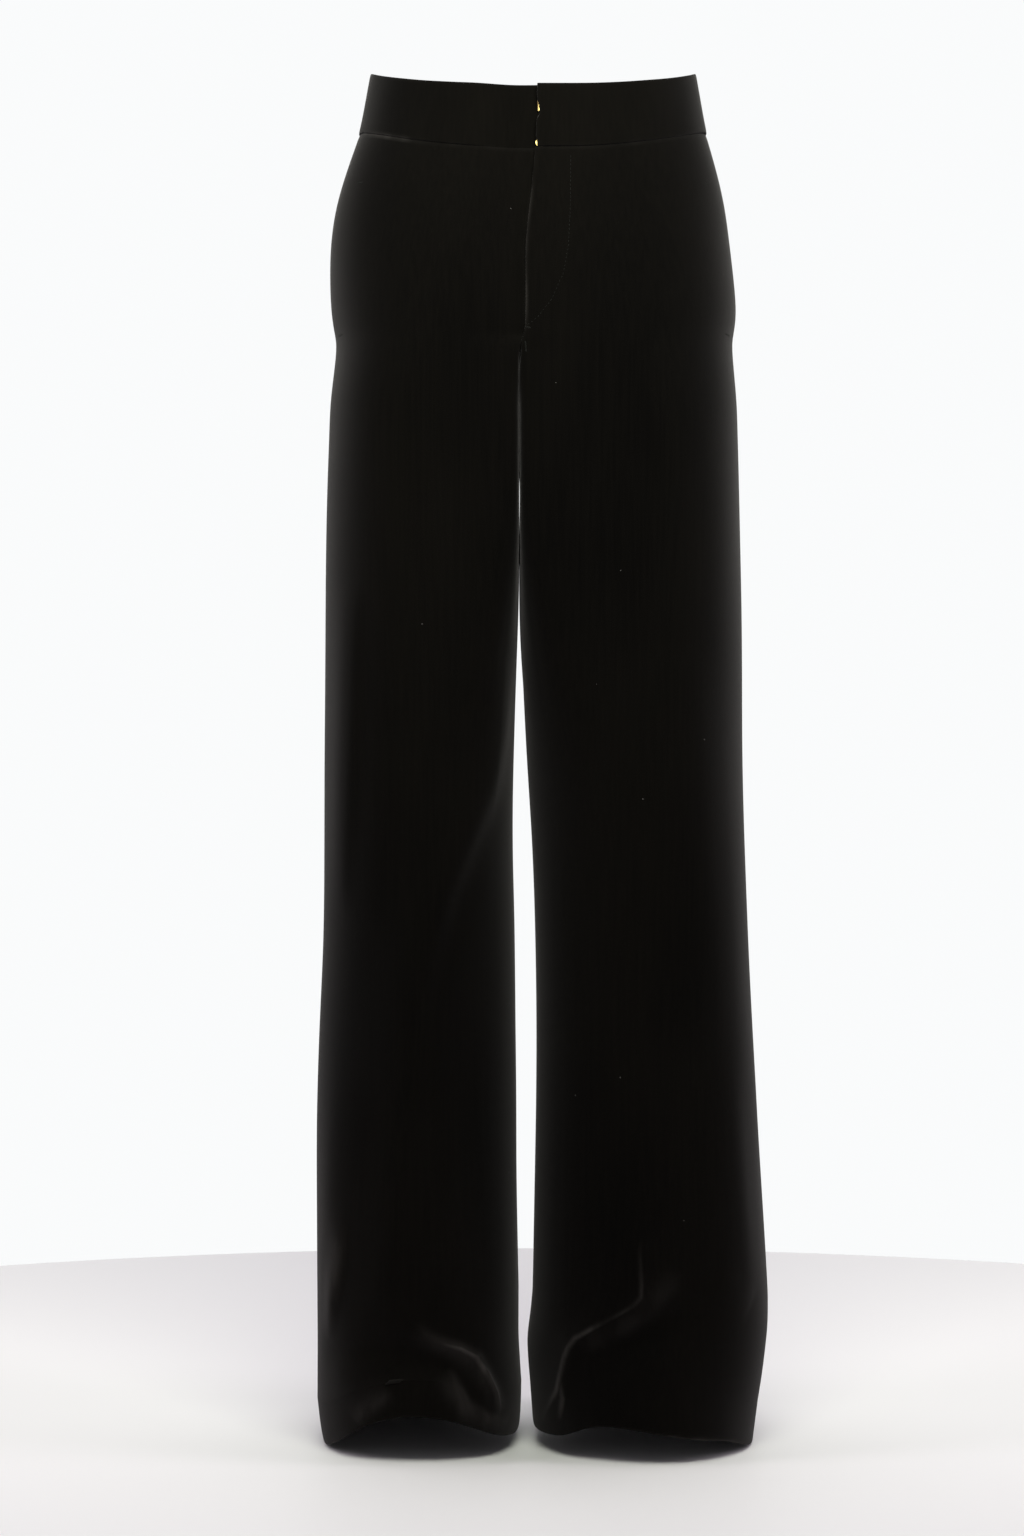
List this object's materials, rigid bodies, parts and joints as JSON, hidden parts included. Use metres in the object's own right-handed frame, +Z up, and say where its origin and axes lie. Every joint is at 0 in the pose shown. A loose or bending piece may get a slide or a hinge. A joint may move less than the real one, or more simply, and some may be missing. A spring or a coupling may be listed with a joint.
{
  "type": "palazzo pants",
  "caption": "High-rise wide-leg velvet palazzo pants in worn form, with a shaped waistband, zip fly, hook and bar, and side-seam pockets.",
  "frame": {"origin": "middle of the waistband's ring, at mid-height of the band at the side seams", "axes": "+Z up along the worn garment, -Y towards the front where the fly is, +X towards the wearer's left"},
  "size_m": [0.3607, 0.2481, 1.0971],
  "materials": {
    "velvet": "black short-pile velvet with a soft sheen at the edges",
    "zip_tape": "black woven zip tape",
    "fastener_metal": "gold-coloured, satin",
    "pocketing": "plain black pocketing"
  },
  "bodies": {
    "root": {"front_right": "velvet", "front_left": "velvet", "back_right": "velvet", "back_left": "velvet", "waistband_front_right": "velvet", "waistband_front_left": "velvet", "waistband_back": "velvet", "fly_facing": "velvet", "zip_tape_right": "zip_tape", "zip_tape_left": "zip_tape", "zip_slider": "fastener_metal", "waist_hook": "fastener_metal", "waist_bar": "fastener_metal", "pocket_bag_right": "pocketing", "pocket_bag_left": "pocketing"}
  },
  "joints": []
}
